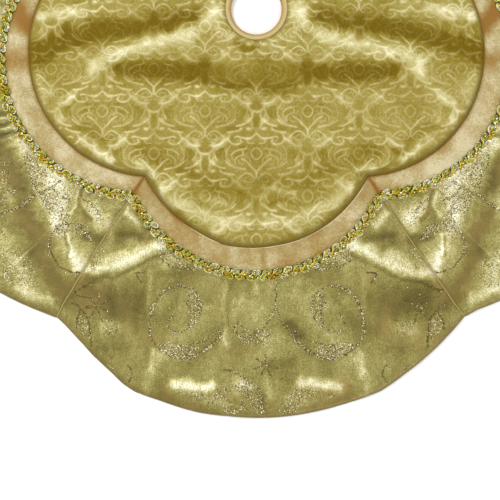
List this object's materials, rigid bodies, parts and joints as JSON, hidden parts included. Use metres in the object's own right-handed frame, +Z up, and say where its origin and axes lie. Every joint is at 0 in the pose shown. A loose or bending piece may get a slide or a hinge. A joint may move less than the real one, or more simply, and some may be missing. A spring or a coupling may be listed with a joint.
{
  "type": "tree skirt",
  "caption": "Round scalloped tree skirt with a padded embossed velvet centre, satin band, metallic braid and crinkled metallic flounce; the rear halves fold over and tabs close the rear slit.",
  "frame": {"origin": "centre of the trunk opening, on the floor under the skirt", "axes": "+Z up out of the floor along the trunk; -Y towards the front scallop; the rear slit opens towards +Y"},
  "size_m": [1.1846, 1.1526, 0.0105],
  "materials": {
    "velvet": "embossed velvet with a soft sheen",
    "wadding": "matt polyester wadding",
    "lining": "plain woven lining",
    "binding": "folded satin bias tape",
    "satin_band": "satin with a soft nap",
    "flounce": "crinkled metallic lame with a glitter print",
    "braid": "plaited metallic gimp braid",
    "closure_tab": "folded satin tape",
    "hook_tape": "nylon hook tape",
    "loop_tape": "nylon loop tape"
  },
  "bodies": {
    "skirt_front": {"braid_front": "braid", "braid_side_left": "braid", "braid_side_right": "braid", "flounce_front": "flounce", "flounce_side_left": "flounce", "flounce_side_right": "flounce", "lining_front": "lining", "neck_binding_front": "binding", "satin_band_front": "satin_band", "satin_band_side_left": "satin_band", "satin_band_side_right": "satin_band", "velvet_panel_front": "velvet", "wadding_front": "wadding"},
    "rear_left": {"braid_rear_left": "braid", "flounce_rear_left": "flounce", "lining_rear_left": "lining", "neck_binding_rear_left": "binding", "satin_band_rear_left": "satin_band", "slit_binding_left": "binding", "tab_root_inner": "closure_tab", "tab_root_middle": "closure_tab", "tab_root_outer": "closure_tab", "velvet_panel_rear_left": "velvet", "wadding_rear_left": "wadding"},
    "rear_right": {"braid_rear_right": "braid", "flounce_rear_right": "flounce", "lining_rear_right": "lining", "loop_tape_inner": "loop_tape", "loop_tape_middle": "loop_tape", "loop_tape_outer": "loop_tape", "neck_binding_rear_right": "binding", "satin_band_rear_right": "satin_band", "slit_binding_right": "binding", "velvet_panel_rear_right": "velvet", "wadding_rear_right": "wadding"},
    "tab_inner": {"closure_tab_inner": "closure_tab", "hook_tape_inner": "hook_tape"},
    "tab_middle": {"closure_tab_middle": "closure_tab", "hook_tape_middle": "hook_tape"},
    "tab_outer": {"closure_tab_outer": "closure_tab", "hook_tape_outer": "hook_tape"}
  },
  "joints": [
    {"name": "fold_left", "type": "hinge", "parent": "skirt_front", "child": "rear_left", "pos_m": [0, 0, 0.011], "axis": [0.9808, -0.1951, 0], "range_deg": [0, 160]},
    {"name": "fold_right", "type": "hinge", "parent": "skirt_front", "child": "rear_right", "pos_m": [0, 0, 0.011], "axis": [0.9808, 0.1951, 0], "range_deg": [0, 160]},
    {"name": "tab_inner_fold", "type": "hinge", "parent": "rear_left", "child": "tab_inner", "pos_m": [-0.02241, 0.13829, 0.00345], "axis": [0.1951, -0.9808, 0], "range_deg": [0, 115]},
    {"name": "tab_middle_fold", "type": "hinge", "parent": "rear_left", "child": "tab_middle", "pos_m": [-0.04387, 0.24617, 0.00345], "axis": [0.1951, -0.9808, 0], "range_deg": [0, 115]},
    {"name": "tab_outer_fold", "type": "hinge", "parent": "rear_left", "child": "tab_outer", "pos_m": [-0.08289, 0.44233, 0.00345], "axis": [0.1951, -0.9808, 0], "range_deg": [0, 115]}
  ]
}
